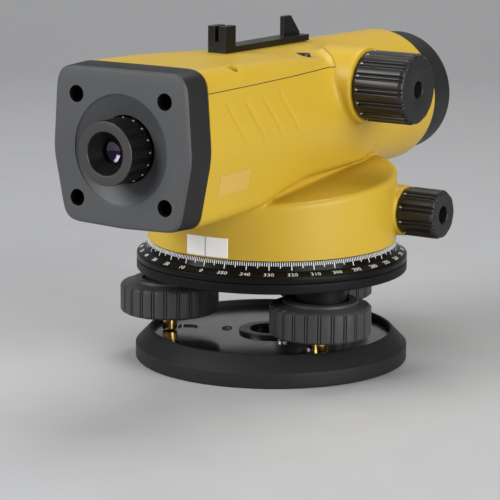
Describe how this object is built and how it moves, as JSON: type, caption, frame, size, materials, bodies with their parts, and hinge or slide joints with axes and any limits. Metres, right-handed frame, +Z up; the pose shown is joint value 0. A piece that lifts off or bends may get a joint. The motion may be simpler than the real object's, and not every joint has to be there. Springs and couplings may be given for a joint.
{
  "type": "automatic level",
  "caption": "Automatic levelling telescope on a graduated circle and a three-screw base, with focus, tangent and dioptre knobs and a damped pendulum compensator.",
  "frame": {"origin": "on the vertical axis, at the underside of the base and the mouth of its tripod thread", "axes": "+Z up along the vertical axis; +Y along the line of sight towards the objective; +X on the focus knob's side"},
  "size_m": [0.13, 0.2139, 0.136],
  "materials": {
    "aluminium": "machined",
    "black_anodised": "black anodised",
    "black_casting": "satin black coating on cast metal",
    "black_plastic": "fine moulded texture",
    "brass": "turned brass",
    "clear_glass": "coated optical glass",
    "gasket_rubber": "matt",
    "grey_plastic": "fine moulded texture",
    "magnet_steel": "plated magnet",
    "mirror_glass": "silvered",
    "plate_steel": "polished and lightly brushed",
    "screw_steel": "blackened steel",
    "steel": "turned steel",
    "vial_glass": "clear glass over tinted fluid",
    "white_marking": "white plastic with a black line",
    "yellow_paint": "fine satin enamel"
  },
  "bodies": {
    "base": {"base_casting": "black_casting", "tripod_thread_bush": "black_anodised", "spring_plate": "plate_steel", "spring_plate_screws": "steel", "foot_pins_front": "brass"},
    "rear_foot": {"foot_pin_rear": "brass"},
    "tribrach": {"tribrach_body": "black_casting", "foot_screw_nuts": "brass", "vertical_axis": "steel", "circle_friction_ring": "gasket_rubber", "slip_spring": "steel", "axis_nut": "steel"},
    "foot_screw_left": {"foot_knob_left": "black_plastic", "foot_spindle_left": "steel"},
    "foot_screw_right": {"foot_knob_right": "black_plastic", "foot_spindle_right": "steel"},
    "foot_screw_rear": {"foot_knob_rear": "black_plastic", "foot_spindle_rear": "steel"},
    "circle": {"graduated_circle": "black_anodised"},
    "worm_wheel": {"worm_wheel": "brass"},
    "alidade": {"main_housing": "yellow_paint", "top_cover": "yellow_paint", "cover_gasket": "gasket_rubber", "top_cover_screws": "screw_steel", "eyepiece_cover": "grey_plastic", "eyepiece_cover_screws": "screw_steel", "casing_base_plate": "black_anodised", "casing_base_screws": "screw_steel", "axis_bearing": "brass", "tangent_bushes": "brass", "index_window": "white_marking", "eyepiece_tube": "black_anodised", "reticle_cell": "black_anodised", "reticle_glass": "clear_glass", "reticle_screws": "steel", "objective_hood": "grey_plastic", "objective_cell": "black_anodised", "objective_retainer": "black_anodised", "objective_lens": "clear_glass", "focus_tube": "black_anodised", "focus_bush": "brass", "compensator_frame": "aluminium", "damping_magnets": "magnet_steel", "level_vial_cup": "black_anodised", "level_vial_glass": "vial_glass", "level_mirror_bracket": "black_plastic", "level_mirror": "mirror_glass", "peep_sight": "black_plastic"},
    "tangent_screw": {"tangent_shaft": "steel", "tangent_knobs": "black_plastic"},
    "focus_drive": {"focus_shaft": "steel", "focus_knob": "black_plastic"},
    "focus_carriage": {"focus_slider": "aluminium", "focus_lens": "clear_glass"},
    "eyepiece_slide": {"eyepiece_cell": "black_anodised", "eyepiece_lenses": "clear_glass"},
    "dioptre": {"dioptre_ring": "black_plastic"},
    "pendulum": {"compensator_pendulum": "aluminium", "compensator_prism": "clear_glass", "suspension_wires": "steel"}
  },
  "joints": [
    {"name": "level_roll", "type": "hinge", "parent": "base", "child": "rear_foot", "pos_m": [0, 0.041, 0.014], "axis": [0, 1, 0], "range_deg": [-3.23, 3.23]},
    {"name": "level_pitch", "type": "hinge", "parent": "rear_foot", "child": "tribrach", "pos_m": [0, -0.0205, 0.014], "axis": [1, 0, 0], "range_deg": [-1.87, 1.87]},
    {"name": "foot_screw_left_turn", "type": "hinge", "parent": "tribrach", "child": "foot_screw_left", "pos_m": [-0.03551, -0.0205, 0.024], "axis": [0, 0, 1], "range_deg": [-900, 900]},
    {"name": "foot_screw_right_turn", "type": "hinge", "parent": "tribrach", "child": "foot_screw_right", "pos_m": [0.03551, -0.0205, 0.024], "axis": [0, 0, 1], "range_deg": [-901, 901]},
    {"name": "foot_screw_rear_turn", "type": "hinge", "parent": "tribrach", "child": "foot_screw_rear", "pos_m": [0, 0.041, 0.024], "axis": [0, 0, 1], "range_deg": [-900, 900]},
    {"name": "circle_turn", "type": "hinge", "parent": "tribrach", "child": "circle", "pos_m": [0, 0, 0.044], "axis": [0, 0, 1], "continuous": true},
    {"name": "swing", "type": "hinge", "parent": "tribrach", "child": "worm_wheel", "pos_m": [0, 0, 0.0607], "axis": [0, 0, 1], "continuous": true},
    {"name": "fine_motion", "type": "hinge", "parent": "worm_wheel", "child": "alidade", "pos_m": [0, 0, 0.0607], "axis": [0, 0, 1], "continuous": true},
    {"name": "tangent_turn", "type": "hinge", "parent": "alidade", "child": "tangent_screw", "pos_m": [0, 0.0229, 0.0607], "axis": [1, 0, 0], "continuous": true},
    {"name": "focus_turn", "type": "hinge", "parent": "alidade", "child": "focus_drive", "pos_m": [0.034, 0.017, 0.11], "axis": [1, 0, 0], "range_deg": [-170, 170]},
    {"name": "focus_slide", "type": "slide", "parent": "alidade", "child": "focus_carriage", "axis": [0, 1, 0], "range_m": [-0.0072, 0.0072]},
    {"name": "eyepiece_travel", "type": "slide", "parent": "alidade", "child": "eyepiece_slide", "axis": [0, 1, 0], "range_m": [-0.00151, 0.00151]},
    {"name": "dioptre_turn", "type": "hinge", "parent": "eyepiece_slide", "child": "dioptre", "pos_m": [0, -0.105, 0.0966], "axis": [0, 1, 0], "range_deg": [-180, 180]},
    {"name": "compensator_swing", "type": "hinge", "parent": "alidade", "child": "pendulum", "pos_m": [0, -0.024, 0.1124], "axis": [1, 0, 0], "range_deg": [-0.5, 0.5]}
  ],
  "couplings": [
    {"joint": "foot_screw_right_turn", "follows": "foot_screw_left_turn", "ratio": -1},
    {"joint": "level_roll", "follows": "foot_screw_left_turn", "ratio": -0.0035859},
    {"joint": "level_pitch", "follows": "foot_screw_rear_turn", "ratio": -0.0020703},
    {"joint": "tangent_turn", "follows": "fine_motion", "ratio": -48},
    {"joint": "focus_slide", "follows": "focus_turn", "m_per_rad": 0.0024},
    {"joint": "eyepiece_travel", "follows": "dioptre_turn", "m_per_rad": 0.00047746}
  ]
}
